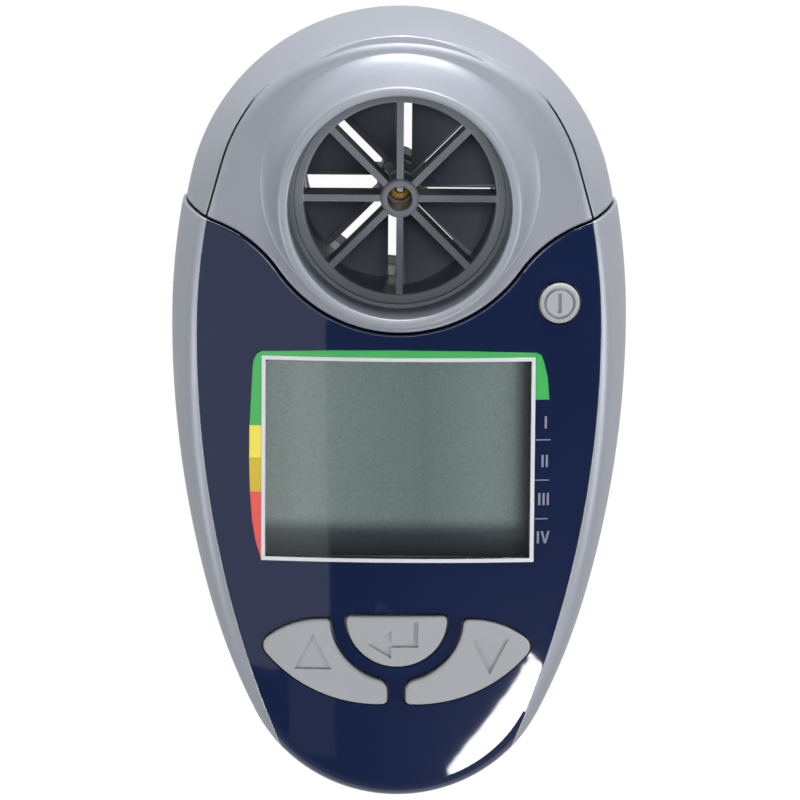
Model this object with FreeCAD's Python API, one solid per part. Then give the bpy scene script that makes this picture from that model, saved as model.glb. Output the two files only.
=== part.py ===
import FreeCAD, Part
import math
import os

os.makedirs("parts", exist_ok=True)
V = FreeCAD.Vector
X = V(1, 0, 0)
Y = V(0, 1, 0)
Z = V(0, 0, 1)

# The monitor lies on its back. X is its width, +Y points to the flow head, +Z out of the face.
# The origin is under the middle of the outline, on the surface that the rear rests on. Sizes in mm.

# Overall
body_length = 112.0
body_width = 63.8
lip_height = 48.0
gap = 0.3                      # between pieces that move past each other
seat = 0.05                    # between pieces that are fixed together
head_end_y = body_length / 2
tail_y = -body_length / 2
edge_x = body_width / 2

# Flow tube: what lies along the body is placed from its axis
tube_to_head_end = 24.0
tube_y = head_end_y - tube_to_head_end
axis_point = V(0, tube_y, 0)
bore_radius = 13.3
cartridge_radius = 14.6
socket_radius = 15.3
socket_depth = 10.0
lip_radius = 16.8
lip_round = 0.7
lip_neck = 2.8                 # how far the lip's flare reaches down
throat_radius = 16.4           # the narrowest outside of the flared mouth
base_radius = 20.5             # the mouth's foot, round which the body is cut
base_shift = 0.7               # the foot lies this far towards the head end from the tube's axis
flare_run = 1.0                # how far the flare runs on past the foot, under the face
flare_foot_z = 28.6
flare_top_z = 42.5
flare_knee = 1.35              # where the flare turns up: this far outside the throat
flare_knee_rise = 2.6          # and this far over its foot
mouth_foot_z = 27.4
cartridge_floor = 1.4          # rear lip that carries the measuring cartridge
seal_thickness = 0.6

# Plan outline: five arcs each side, tangent to each other
widest_y = tube_y - 20.0       # where the body is widest
head_taper = 1.5               # how much smaller the head's radius is than half the width
side_turn = 16.0               # degrees turned at the end of the long side arc
shoulder_turn = 27.0           # degrees turned at the end of the shoulder arc
shoulder_radius = 88.0
head_step = 0.45               # the head stands this far inside the body's outline

# Side profile: the wall bulges, widest at belly_z
belly_z = 15.0
upper_bulge = 30.0
lower_bulge = 20.0
form_top = 33.0                # above the face everywhere

# Face: crowned both ways, highest near the flow head
face_z = 31.0
face_peak_y = tube_y - 8.5
face_length_radius = 270.0
face_crown_radius = 130.0
face_edge_radius = 2.6

# Walls
wall = 1.8
fascia_skin = 1.8
deck = 1.4
parting_z = 14.0
split = 0.2                    # the visible line between case halves

# Seam between head and body
seam_side_y = tube_y - 2.1     # where the seam meets the side
seam_slope = 21.0
seam_blend = 18.0
seam_round = 0.4               # rounded edge along the seam, on the head
body_round = 0.25              # and on the body

# Head cover rim
rim_radius = 25.6
rim_centre_y = tube_y - 3.5
cover_skin = 1.6
rim_groove = 0.28              # the line between the cover and the shell round it
rim_flare_angle = 15.5         # where the rim circle runs on as a straight line
recess_width = 20.6            # finger recess at the rim
recess_reach = 0.7
recess_depth = 0.75

# Fascia edge
side_strip = 3.8               # grey strip between the fascia and the widest edge
fascia_half_width = edge_x - side_strip
fascia_side_radius = 159.0
fascia_head_radius = 90.0

# Display
window_width = 36.9
window_length = 28.3
window_y = tube_y - 38.05
window_thickness = 1.2
window_corner = 0.6
lcd_depth = 4.0                # from the face at the window's middle to the panel
lcd_thickness = 2.0
lcd_margin = 0.8
carrier_wall = 0.8
strip_width = 1.8              # contact strips between panel and board
strip_length = 30.0

# Keys
key_rise = 0.8
key_gap = 0.3
key_travel = 0.6
key_flange = 0.7
key_flange_thickness = 0.9
key_edge = 0.35
key_corner = 0.7
mark_depth = 0.35
stem_radius = 1.2
switch_size = 4.4
switch_body = 2.0
plunger_radius = 0.9
plunger_height = 0.5
enter_y = window_y - 22.55      # the flat top edge of the centre key
enter_radius = 7.05
enter_drop = 0.4               # the bow's centre lies this far below the flat edge
enter_stem_y = enter_y - 3.1
wing_inner_radius = 9.4
wing_top_y = enter_y - 0.6
wing_shoulder = (15.5, enter_y - 1.75)
wing_tip = (19.25, enter_y - 4.5)
wing_tip_round = 1.6
wing_bow = (11.9, enter_y - 10.9)
wing_toe = (1.3, enter_y - 13.05)
wing_heel = 1.8                # round corner where the inner edge turns down to the toe
wing_mark = 5.25               # side and height of the triangle sunk into the key
wing_mark_x = 11.75
wing_mark_top = enter_y - 2.7
down_mark_x = 13.1
down_mark_top = enter_y - 3.4
arrow_tip_x = -4.0             # return arrow sunk into the centre key
arrow_head = (3.25, 4.1)
arrow_reach = 7.0
arrow_y = enter_y - 4.2
arrow_line = 0.7
arrow_rise = 3.4
wing_stem_x = 9.6
wing_stem_y = enter_y - 7.0
power_x = edge_x - 9.6
power_y = tube_y - 15.65
power_radius = 2.8
power_ring = 1.85              # inner radius of the ring on the power button
power_ring_width = 0.35
power_bar_width = 0.5
power_bar_length = 2.8

# Batteries: two AAA cells in a room that opens to the rear
cell_radius = 5.25
cell_length = 43.5
cell_tip_radius = 1.9
cell_tip = 1.0
cell_play = 0.25               # room round the cells
cell_pitch = 2 * (cell_radius + cell_play)
cell_room_head_y = tube_y - 27.5
spring_length = 2.4
spring_coil_radius = 2.6
spring_wire = 0.25
spring_turns = 3
contact_thickness = 0.4
contact_side = 8.5
door_thickness = 1.9
door_lip = 0.9                 # height of the door below its tongues
door_tongue = 0.9
door_inset = 0.1               # the door lies this far inside the resting face
door_margin = 0.7              # how far the door laps past the battery room
door_ribs = 5
door_rib_width = 0.8
door_rib_depth = 0.4
door_rib_pitch = 1.8
door_grip = 6.0                # from the tail end of the battery room to the first rib
tray_wall = 1.0
room_half = cell_pitch / 2 + cell_radius + cell_play
room_length = cell_length + cell_tip + spring_length + 2 * contact_thickness
room_tail_y = cell_room_head_y - room_length
room_mid_y = cell_room_head_y - room_length / 2

# Heights that follow from the pieces stacked on the rear
door_top = door_inset + door_thickness
floor_z = door_top + gap + wall / 2
cell_z = door_top + 2 * gap + cell_radius
tray_top = cell_z + cell_radius + cell_play + tray_wall

# Board and what stands on it: width, length, height
board_thickness = 1.2
board_margin = 1.2
board_tail_y = tail_y + 13.5
board_z = tray_top + seat
board_top = board_z + board_thickness
processor = (7.0, 7.0, 1.4)
memory = (5.0, 4.0, 1.4)
driver = (4.0, 5.0, 1.4)
crystal = (8.0, 3.2, 2.4)
buzzer_x = 7.9 - edge_x
buzzer_y = tube_y - 16.5
buzzer_radius = 4.6
buzzer_hole = 0.9
buzzer_height = 2.6

# Turbine: vane and shaft between two stators
shaft_radius = 0.6
bearing_radius = 1.5
bearing_running = 0.05
bearing_length = 1.8
bearing_cover = 0.6            # wall over the front bearing
rear_bearing_cover = 2.0       # wall under the rear bearing
vane_clearance = 1.1
vane_length = 2 * (bore_radius - vane_clearance)
vane_height = 7.0
vane_thickness = 0.5
stator_height = 8.4
front_height = 9.4
edge_round = 0.3               # rounded front edge of the bore
spoke_count = 8
spoke_thickness = 0.95
spoke_height = 7.0
spoke_drop = 0.35
spoke_margin = 0.6             # rear spokes stand this far inside their ring
spoke_root = 0.4               # how deep spokes and blades run into their ring
hub_radius = 2.7
hub_hole_radius = 1.75
hub_length = 7.0
hub_round = 0.45
hub_teeth = 12
hub_tooth = (1.0, 0.6, 1.2)
slit_width = 1.95
slit_lead = -0.35              # the see-through gap starts under the spoke
slit_inner = 3.2
blade_lead = 2.0               # degrees past the spoke at the front edge
blade_twist = 41.0
blade_thickness = 0.7
blade_hub_radius = 2.7

# Head joint
tongue_x = edge_x - 8.6
tongue_width = 2.4
tongue_z = 9.0
tongue_height = 3.2
tongue_reach = 9.0
tongue_root_y = seam_side_y - 4.9

# Screws
screw_radius = 1.1
screw_head_radius = 1.9
screw_head = 1.4
screw_play = 0.2
screw_seat_z = 4.0
screw_grip = 7.0
screw_point = 1.0              # the hole is this much deeper than the screw
screw_cross = (2.4, 0.5, 0.7)
screw_head_x = edge_x - 8.7
screw_head_y = tube_y - 24.5
screw_tail_x = edge_x - 14.4
screw_tail_y = window_y - 19.35
boss_radius = 2.6
cover_screw_x = throat_radius + boss_radius + gap
cover_screw_y = tube_y + 4.5

# Optical pair that watches the rotor
sensor_spacing = 5.0
sensor_radius = 1.5
sensor_length = 3.4
sensor_z = 12.0
sensor_leg = (1.6, 0.5)
holder_wall = 0.8


def rad(angle):
    return math.radians(angle)


def cylinder(radius, height, x, y, z):
    return Part.makeCylinder(radius, height, V(x, y, z))


def ring(outer, inner, height, x, y, z):
    return cylinder(outer, height, x, y, z).cut(cylinder(inner, height, x, y, z))


def block(width, length, height, x, y, z):
    """A box centred on x and y, standing on z."""
    return Part.makeBox(width, length, height, V(x - width / 2, y - length / 2, z))


def prism(wire, z, height):
    """A closed flat wire raised from z."""
    face = Part.Face(wire)
    face.translate(V(0, 0, z))
    return face.extrude(V(0, 0, height))


def join(shapes):
    solid = shapes[0].fuse(shapes[1:]) if len(shapes) > 1 else shapes[0]
    return solid.removeSplitter()


def mirrored(shape):
    return shape.mirror(V(0, 0, 0), X)


def flip(point):
    """The same point on the other side of the body."""
    return V(-point.x, point.y, point.z)


def uprights(solid):
    return [edge for edge in solid.Edges if edge.BoundBox.ZLength > solid.BoundBox.ZLength / 2]


def largest(shape):
    return max(shape.Solids, key=lambda solid: solid.Volume)


def export(name, *shapes):
    shape = shapes[0] if len(shapes) == 1 else Part.makeCompound(list(shapes))
    solids = shape.Solids
    shape = solids[0] if len(solids) == 1 else Part.makeCompound(solids)
    shape.exportStep("parts/" + name + ".step")
    print(name, len(solids), round(shape.Volume, 1), shape.isValid())
    return shape


# Plan outline

def outline_arcs():
    """Right half of the outline from the head's top to the tail: centre, radius and angles of each arc."""
    half = edge_x
    head_radius = half - head_taper
    head_centre_y = head_end_y + head_step - head_radius
    rise = head_centre_y - widest_y
    upper_radius = (rise ** 2 + half ** 2 - head_radius ** 2) / (2 * (half - head_radius))
    head_turn = math.degrees(math.atan2(rise, upper_radius - half))
    cos_side, sin_side = math.cos(rad(side_turn)), math.sin(rad(side_turn))
    cos_shoulder, sin_shoulder = math.cos(rad(shoulder_turn)), math.sin(rad(shoulder_turn))
    across = half - shoulder_radius * (cos_side - cos_shoulder)
    along = widest_y - tail_y - shoulder_radius * (sin_shoulder - sin_side)
    scale = (1 - cos_side) * (1 - sin_shoulder) - cos_shoulder * sin_side
    side_radius = (across * (1 - sin_shoulder) - cos_shoulder * along) / scale
    tail_radius = ((1 - cos_side) * along - sin_side * across) / scale
    side_centre = (half - side_radius, widest_y)
    drop = side_radius - shoulder_radius
    shoulder_centre = (side_centre[0] + drop * cos_side, side_centre[1] - drop * sin_side)
    return [
        ((0, head_centre_y), head_radius, 90, head_turn),
        ((half - upper_radius, widest_y), upper_radius, head_turn, 0),
        (side_centre, side_radius, 0, -side_turn),
        (shoulder_centre, shoulder_radius, -side_turn, -shoulder_turn),
        ((0, tail_y + tail_radius), tail_radius, -shoulder_turn, -90),
    ]


def arc_edge(centre, radius, start, end, z=0):
    points = []
    for angle in (start, (start + end) / 2, end):
        across, along = math.cos(rad(angle)), math.sin(rad(angle))
        points.append(V(centre[0] + radius * across, centre[1] + radius * along, z))
    return Part.Arc(*points).toShape()


def outline(inset, z=0):
    arcs = outline_arcs()
    edges = [arc_edge(centre, radius - inset, start, end, z) for centre, radius, start, end in arcs]
    for centre, radius, start, end in reversed(arcs):
        edges.append(arc_edge((-centre[0], centre[1]), radius - inset, 180 - end, 180 - start, z))
    return Part.Wire(edges)


def bulge_inset(z):
    radius = upper_bulge if z > belly_z else lower_bulge
    return radius - math.sqrt(radius ** 2 - (z - belly_z) ** 2)


def pebble(inset, low, high):
    """The outside form between two heights, moved in by inset."""
    levels = 8
    wires = []
    for step in range(levels + 1):
        z = low + (high - low) * step / levels
        wires.append(outline(inset + bulge_inset(z), z))
    return Part.makeLoft(wires, True, False)


def under_face(drop):
    """All that lies below the crowned face, lowered by drop."""
    depth = 8.0
    reach = body_width
    axis = V(0, face_peak_y, face_z - face_length_radius)
    top = face_z - drop
    radius = face_crown_radius - drop
    fall = radius - math.sqrt(radius ** 2 - (reach / 2 + depth) ** 2)
    left = V(-reach / 2 - depth, face_peak_y, top - fall)
    right = V(reach / 2 + depth, face_peak_y, top - fall)
    low_left = V(left.x, face_peak_y, -depth)
    low_right = V(right.x, face_peak_y, -depth)
    crown = Part.Arc(left, V(0, face_peak_y, top), right).toShape()
    wire = Part.Wire([crown, Part.makeLine(right, low_right), Part.makeLine(low_right, low_left),
                      Part.makeLine(low_left, left)])
    section = Part.Face(wire)
    tail_angle = 24.0
    head_angle = 12.0
    section.rotate(axis, X, tail_angle)
    return section.revolve(axis, X, -(tail_angle + head_angle))


def face_height(x, y):
    long_drop = face_length_radius - face_crown_radius
    ring_radius = math.sqrt(face_crown_radius ** 2 - x ** 2) + long_drop
    return face_z - face_length_radius + math.sqrt(ring_radius ** 2 - (y - face_peak_y) ** 2)


# Seam between flow head and body, seen from the front

def seam_zone(offset):
    """Everything on the head's side of the seam, as a tall prism, grown towards the body by offset."""
    along = V(math.cos(rad(seam_slope)), math.sin(rad(seam_slope)), 0)
    down = V(math.sin(rad(seam_slope)), -math.cos(rad(seam_slope)), 0)
    side = V(edge_x, seam_side_y, 0)
    base_point = V(0, tube_y + base_shift, 0)
    to_axis = base_point.sub(side)
    depth = seam_blend - to_axis.dot(down)
    run = to_axis.dot(along) + math.sqrt((base_radius + seam_blend) ** 2 - depth ** 2)
    blend_centre = side.add(along * run).add(down * seam_blend)
    blend = seam_blend - offset
    circle = base_radius + offset
    on_line = blend_centre.sub(down * blend)
    inward = base_point.sub(blend_centre).normalize()
    on_circle = blend_centre.add(inward * blend)
    middle = blend_centre.add((inward.sub(down)).normalize() * blend)
    far = side.add(along * body_width).add(down * offset)
    top = V(far.x, body_length, 0)

    edges = [
        Part.makeLine(top, far),
        Part.makeLine(far, on_line),
        Part.Arc(on_line, middle, on_circle).toShape(),
        Part.Arc(on_circle, V(0, base_point.y - circle, 0), flip(on_circle)).toShape(),
        Part.Arc(flip(on_circle), flip(middle), flip(on_line)).toShape(),
        Part.makeLine(flip(on_line), flip(far)),
        Part.makeLine(flip(far), flip(top)),
        Part.makeLine(flip(top), top),
    ]
    return prism(Part.Wire(edges), -1, lip_height + 2)


def rounded_face_form(inset):
    """The whole outside form, trimmed by the face, with its top edge rounded."""
    form = pebble(inset, 0, form_top).common(under_face(0))
    form = largest(form)
    top_faces = [face for face in form.Faces if face.CenterOfMass.z > belly_z + 8]
    crown = max(top_faces, key=lambda face: face.Area)
    return form.makeFillet(face_edge_radius, crown.OuterWire.Edges)


def soften_seam(form, zone, radius):
    """Rounds the outside edges that the seam leaves on a form, down to the resting face."""
    walls = Part.makeCompound([face for face in zone.Faces if face.BoundBox.ZLength > belly_z])
    edges = []
    for edge in form.Edges:
        middle = edge.valueAt((edge.FirstParameter + edge.LastParameter) / 2)
        lies_across = max(edge.BoundBox.XLength, edge.BoundBox.YLength) > gap
        if lies_across and middle.z > wall and Part.Vertex(middle).distToShape(walls)[0] < 0.001:
            edges.append(edge)
    return form.makeFillet(radius, edges)


full_form = rounded_face_form(0)
head_form = rounded_face_form(head_step)
inner_form = pebble(wall, floor_z, form_top)


def slab(low, high):
    return block(2 * body_width, 2 * body_length, high - low, 0, 0, low)


def bow(radius, reach):
    """How far an arc of this radius falls back over reach."""
    return radius - math.sqrt(radius ** 2 - reach ** 2)


def fascia_zone(grow, low_z):
    """Plan of the fascia: two long side arcs that run off the outline near the tail."""
    half = fascia_half_width + grow
    tail_reach = 72.0
    head_reach = 20.0
    low = V(half - bow(fascia_side_radius, tail_reach), widest_y - tail_reach, 0)
    middle = V(half - bow(fascia_side_radius, tail_reach / 2), widest_y - tail_reach / 2, 0)
    wide = V(half, widest_y, 0)
    rise = V(half - bow(fascia_head_radius, head_reach / 2), widest_y + head_reach / 2, 0)
    high = V(half - bow(fascia_head_radius, head_reach), widest_y + head_reach, 0)
    edges = [
        Part.Arc(low, middle, wide).toShape(),
        Part.Arc(wide, rise, high).toShape(),
        Part.makeLine(high, flip(high)),
        Part.Arc(flip(high), flip(rise), flip(wide)).toShape(),
        Part.Arc(flip(wide), flip(middle), flip(low)).toShape(),
        Part.makeLine(flip(low), low),
    ]
    return prism(Part.Wire(edges), low_z, lip_height)


def between(shape, upper, lower):
    """The part of an upright shape between two depths below the face."""
    return shape.common(under_face(upper)).cut(under_face(lower))


# Body: outer form, hollow and openings

body_form = largest(full_form.cut(seam_zone(gap)))
body_front = soften_seam(body_form, seam_zone(gap), body_round)
hollow = inner_form.common(under_face(fascia_skin + seat + deck)).cut(seam_zone(gap + wall))
below_fascia = pebble(fascia_skin, 0, form_top).common(under_face(fascia_skin))
below_pocket = pebble(fascia_skin + seat, 0, form_top).common(under_face(fascia_skin + seat))


def window_prism(grow):
    room = block(window_width + 2 * grow, window_length + 2 * grow, lip_height, 0, window_y, 0)
    return room.makeFillet(window_corner, uprights(room))


# Keys: plans, then caps

def raised(plan):
    """An upright prism of a plan face."""
    return plan.extrude(V(0, 0, lip_height))


def foot(solid):
    return min(solid.Faces, key=lambda face: face.CenterOfMass.z)


def round_plan(edges, radius):
    """A plan face with its corners rounded."""
    solid = Part.Face(Part.Wire(edges)).extrude(Z)
    return foot(solid.makeFillet(radius, uprights(solid)))


def circle_through(first, second, third):
    curve = Part.Arc(V(*first, 0), V(*second, 0), V(*third, 0)).toShape().Curve
    return curve.Center, curve.Radius


def meet(centre, radius, other_centre, other_radius, near):
    """Where two circles cross, on the side nearest to a point."""
    across = other_centre.sub(centre)
    distance = across.Length
    along = (distance ** 2 + radius ** 2 - other_radius ** 2) / (2 * distance)
    rise = math.sqrt(radius ** 2 - along ** 2)
    across.normalize()
    middle = centre.add(across * along)
    side = V(-across.y, across.x, 0) * rise
    return min(middle.add(side), middle.sub(side), key=lambda point: point.distanceToPoint(near))


def short_arc(centre, start, end):
    radius = start.distanceToPoint(centre)
    middle = start.sub(centre).add(end.sub(centre)).normalize() * radius
    return Part.Arc(start, centre.add(middle), end).toShape()


def enter_plan(grow):
    """The centre key: a half circle with a flat top, grown all round."""
    radius = enter_radius + grow
    half = math.sqrt(radius ** 2 - (enter_drop + grow) ** 2)
    left = V(-half, enter_y + grow, 0)
    right = V(half, enter_y + grow, 0)
    bow_edge = Part.Arc(left, V(0, enter_y - enter_drop - radius, 0), right).toShape()
    return round_plan([bow_edge, Part.makeLine(right, left)], key_corner + grow)


def wing_plan(grow):
    """The right-hand key: it hugs the centre key inside and follows the edge of the body outside."""
    hug_centre = V(0, enter_y - enter_drop, 0)
    hug_radius = wing_inner_radius - grow
    start_x = math.sqrt(wing_inner_radius ** 2 - (hug_centre.y - wing_top_y) ** 2)
    top_centre, top_radius = circle_through((start_x, wing_top_y), wing_shoulder, wing_tip)
    low_centre, low_radius = circle_through(wing_tip, wing_bow, wing_toe)
    start = meet(hug_centre, hug_radius, top_centre, top_radius + grow, V(start_x, wing_top_y, 0))
    tip = meet(top_centre, top_radius + grow, low_centre, low_radius + grow, V(*wing_tip, 0))
    toe_x = wing_toe[0] - grow
    toe = V(toe_x, low_centre.y - math.sqrt((low_radius + grow) ** 2 - (toe_x - low_centre.x) ** 2), 0)
    heel = V(toe_x, hug_centre.y - math.sqrt(hug_radius ** 2 - toe_x ** 2), 0)
    edges = [short_arc(hug_centre, heel, start), short_arc(top_centre, start, tip),
             short_arc(low_centre, tip, toe), Part.makeLine(toe, heel)]
    solid = Part.Face(Part.Wire(edges)).extrude(Z)
    corners = sorted(uprights(solid), key=lambda edge: edge.BoundBox.Center.sub(heel).Length)
    solid = solid.makeFillet(key_corner + grow, corners[1:-1])
    for radius, choose in ((wing_tip_round, max), (wing_heel, min)):
        corner = choose(uprights(solid), key=lambda edge: edge.BoundBox.Center.sub(heel).Length)
        solid = solid.makeFillet(radius + grow, [corner])
    return foot(solid)


def left_wing_plan(grow):
    return mirrored(wing_plan(grow))


def power_plan(grow):
    return Part.Face(Part.Wire(Part.makeCircle(power_radius + grow, V(power_x, power_y, 0))))


keys = {
    "key_down": (wing_plan, (wing_stem_x, wing_stem_y)),
    "key_up": (left_wing_plan, (-wing_stem_x, wing_stem_y)),
    "key_enter": (enter_plan, (0.0, enter_stem_y)),
    "power_button": (power_plan, (power_x, power_y)),
}
flange_depth = fascia_skin + gap
stem_foot = board_top + switch_body + plunger_height + gap + key_travel


def key_cap(name):
    plan, (x, y) = keys[name]
    cap = between(raised(plan(0)), -key_rise, flange_depth + key_flange_thickness)
    crown = max(cap.Faces, key=lambda face: face.CenterOfMass.z)
    cap = cap.makeFillet(key_edge, crown.OuterWire.Edges)
    flange = between(raised(plan(key_flange)), flange_depth, flange_depth + key_flange_thickness)
    stem = cylinder(stem_radius, lip_height, x, y, stem_foot)
    stem = stem.common(under_face(flange_depth + key_flange_thickness / 2))
    return join([cap, flange, stem])


key_holes = [raised(plan(key_gap)) for plan, place in keys.values()]
flange_rooms = [raised(plan(key_flange + 2 * key_gap)) for plan, place in keys.values()]

fascia = body_front.common(fascia_zone(0, parting_z)).cut(below_fascia)
fascia = largest(fascia.cut(key_holes + [window_prism(seat)]))
export("fascia", fascia)

window = between(window_prism(0), seat, window_thickness + seat)
export("display_window", window)


def sunk_mark(points):
    """A mark of straight sides, sunk into a key's face."""
    corners = [V(x, y, 0) for x, y in points]
    return raised(Part.Face(Part.makePolygon(corners + corners[:1]))).cut(under_face(mark_depth - key_rise))


up_foot = wing_mark_top - wing_mark
down_tip = down_mark_top - wing_mark
half_mark = wing_mark / 2
head_x = arrow_tip_x + arrow_head[0]
half_head = arrow_head[1] / 2
far_x = arrow_tip_x + arrow_reach
shaft_top = arrow_y + arrow_line / 2
shaft_foot = arrow_y - arrow_line / 2
arrow_top = arrow_y + arrow_rise
marks = {
    "key_up": [(-wing_mark_x, wing_mark_top), (-wing_mark_x - half_mark, up_foot),
               (-wing_mark_x + half_mark, up_foot)],
    "key_down": [(down_mark_x - half_mark, down_mark_top), (down_mark_x, down_tip),
                 (down_mark_x + half_mark, down_mark_top)],
    "key_enter": [(arrow_tip_x, arrow_y), (head_x, arrow_y - half_head), (head_x, shaft_foot),
                  (far_x, shaft_foot), (far_x, arrow_top), (far_x - arrow_line, arrow_top),
                  (far_x - arrow_line, shaft_top), (head_x, shaft_top), (head_x, arrow_y + half_head)],
}
for name, points in marks.items():
    export(name, key_cap(name).cut(sunk_mark(points)))

power = key_cap("power_button")
mark_floor = under_face(mark_depth - key_rise)
mark_ring = ring(power_ring + power_ring_width, power_ring, lip_height, power_x, power_y, 0)
mark_bar = block(power_bar_width, power_bar_length, lip_height, power_x, power_y, 0)
export("power_button", power.cut([mark_ring.cut(mark_floor), mark_bar.cut(mark_floor)]))

# Display: panel under the window, its carrier and contact strips, all square to the face

window_z = face_height(0, window_y)
face_tilt = math.degrees(math.asin((face_peak_y - window_y) / face_length_radius))
panel_width = window_width + 2 * lcd_margin
panel_length = window_length + 2 * lcd_margin
panel_base = lcd_depth + lcd_thickness


def on_face(width, length, upper, lower):
    """A block square to the face at the window's middle, between two depths."""
    shape = block(width, length, lower - upper, 0, window_y, window_z - lower)
    shape.rotate(V(0, window_y, window_z), X, face_tilt)
    return shape


panel = on_face(panel_width, panel_length, lcd_depth, panel_base)
export("lcd_panel", panel)

carrier_width = panel_width + 2 * (seat + carrier_wall)
carrier_length = panel_length + 2 * (seat + carrier_wall)
strip_y = panel_length / 2 - strip_width
above_carrier = on_face(2 * carrier_width, 2 * carrier_length, -window_z, lcd_depth + gap)
carrier = block(carrier_width, carrier_length, window_z - board_top, 0, window_y, board_top + seat)
panel_seat = on_face(panel_width + 2 * seat, panel_length + 2 * seat, 0, panel_base + seat)
carrier = carrier.cut([above_carrier, panel_seat])
core_width = panel_width - 4 * carrier_wall
core_length = panel_length - 4 * strip_width
carrier_cuts = [block(core_width, core_length, lip_height, 0, window_y, 0)]
for side in (-1, 1):
    carrier_cuts.append(block(strip_length + 2 * seat, strip_width + 2 * seat, lip_height, 0,
                              window_y + side * strip_y, 0))
export("display_carrier", largest(carrier.cut(carrier_cuts)))

below_panel = on_face(2 * carrier_width, 2 * carrier_length, panel_base + seat, window_z)
strips = [block(strip_length, strip_width, lip_height, 0, window_y + side * strip_y, board_top + seat)
          .common(below_panel) for side in (-1, 1)]
export("contact_strips", *strips)

# Circuit board and what stands on it

screws = []
for side in (1, -1):
    screws.append((side * screw_head_x, screw_head_y))
    screws.append((side * screw_tail_x, screw_tail_y))
board_form = pebble(wall + board_margin, board_z, board_top).cut(seam_zone(gap + wall + 2 * seat))
board_tail = block(body_width, body_length, lip_height, 0, board_tail_y - body_length / 2, 0)
boss_clear = [cylinder(boss_radius + gap, lip_height, x, y, 0) for x, y in screws]
board = largest(board_form.cut([board_tail] + boss_clear))
export("circuit_board", board)


def switch(x, y):
    body = block(switch_size, switch_size, switch_body, x, y, board_top + seat)
    plunger = cylinder(plunger_radius, switch_body + plunger_height, x, y, board_top + seat)
    return join([body, plunger])


export("key_switches", *[switch(*place) for plan, place in keys.values()])

chips = [block(*processor, 0, window_y, board_top + seat),
         block(*memory, 9.5, window_y + 3, board_top + seat),
         block(*driver, -9.5, window_y - 2, board_top + seat)]
export("main_chips", *chips)
export("crystal", block(*crystal, 0, window_y + 8, board_top + seat))
export("buzzer", ring(buzzer_radius, buzzer_hole, buzzer_height, buzzer_x, buzzer_y, board_top + seat))

sensor_y = tube_y - base_radius - gap - wall - seat
leg_width, leg_thickness = sensor_leg
leg_y = sensor_y - sensor_length + holder_wall
holder_length = sensor_length - holder_wall - leg_thickness / 2 - gap
sensors = []
holder_cuts = []
for x in (-sensor_spacing / 2, sensor_spacing / 2):
    barrel = Part.makeCylinder(sensor_radius, sensor_length, V(x, sensor_y, sensor_z), -Y)
    leg = block(leg_width, leg_thickness, board_z - sensor_z, x, leg_y, sensor_z)
    sensors.append(join([barrel, leg]))
    holder_cuts.append(Part.makeCylinder(sensor_radius + seat, body_length, V(x, head_end_y, sensor_z), -Y))
export("optical_emitter", sensors[0])
export("optical_detector", sensors[1])
holder_z = sensor_z - sensor_radius - holder_wall
holder_width = sensor_spacing + 2 * (sensor_radius + holder_wall)
holder_y = sensor_y - seat - holder_length / 2
holder = block(holder_width, holder_length, board_z - seat - holder_z, 0, holder_y, holder_z)
export("sensor_holder", largest(holder.cut(holder_cuts)))

# Front case: grey side strips, and the deck that carries the fascia

pocket = fascia_zone(seat, 0).cut(below_pocket)
front = body_front.common(slab(parting_z, lip_height)).cut([hollow, pocket])
panel_room = block(carrier_width + 2 * gap, carrier_length + 2 * gap, lip_height, 0, window_y, parting_z)
front = largest(front.cut(flange_rooms + [panel_room]))
boss_room = under_face(fascia_skin + seat + deck / 2)
bosses = [cylinder(boss_radius, lip_height, x, y, parting_z).common(boss_room) for x, y in screws]
front = join([front] + bosses)
thread_holes = [cylinder(screw_radius, screw_grip, x, y, parting_z) for x, y in screws]
export("front_case", largest(front.cut(thread_holes)))

# Rear case: floor with the battery opening, screw posts, tongues for the flow head

rear = body_form.common(slab(0, parting_z - split)).cut(hollow)
door_half = room_half + door_margin
door_head_y = cell_room_head_y + door_margin
slot_y = door_head_y + gap - body_length / 2
tongue_foot = door_inset + door_lip
door_slot_lip = block(2 * (door_half + gap), body_length, tongue_foot, 0, slot_y, 0)
slot_height = door_top - tongue_foot + 2 * gap
door_slot = block(2 * (door_half + door_tongue + gap), body_length, slot_height, 0, slot_y, tongue_foot - gap)
battery_hole = block(2 * room_half, room_length, floor_z + 1, 0, room_mid_y, 0)
sensor_window = block(sensor_spacing + 2 * sensor_radius, 2 * wall + 2, 2 * sensor_radius, 0,
                      tube_y - base_radius - gap, sensor_z - sensor_radius)
post_room = pebble(seat, 0, form_top)
posts = [cylinder(boss_radius, parting_z - split - wall, x, y, wall).common(post_room) for x, y in screws]
rear = largest(rear.cut([door_slot_lip, door_slot, battery_hole, sensor_window]))
rear = join([rear] + posts)


def screw_holes(places):
    """Clearance for the shank, and a wider well that the head sinks into."""
    holes = [cylinder(screw_radius + screw_play, parting_z + 1, x, y, -1) for x, y in places]
    return holes + [cylinder(screw_head_radius + screw_play, screw_seat_z + 1, x, y, -1) for x, y in places]


def screw(x, y):
    head_z = screw_seat_z - screw_head
    head = cylinder(screw_head_radius, screw_head, x, y, head_z)
    shank_length = parting_z + screw_grip - screw_point - screw_seat_z
    shank = cylinder(screw_radius - seat, shank_length, x, y, screw_seat_z)
    long, narrow, deep = screw_cross
    cross = [block(long, narrow, deep, x, y, head_z), block(narrow, long, deep, x, y, head_z)]
    return join([head, shank]).cut(cross)


tongues = [block(tongue_width, tongue_reach, tongue_height, side * tongue_x, tongue_root_y + tongue_reach / 2,
                 tongue_z) for side in (-1, 1)]
rear = join([rear.cut(screw_holes(screws))] + tongues)
export("rear_case", largest(rear))
export("case_screws", *[screw(x, y) for x, y in screws])

# Battery room

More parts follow.
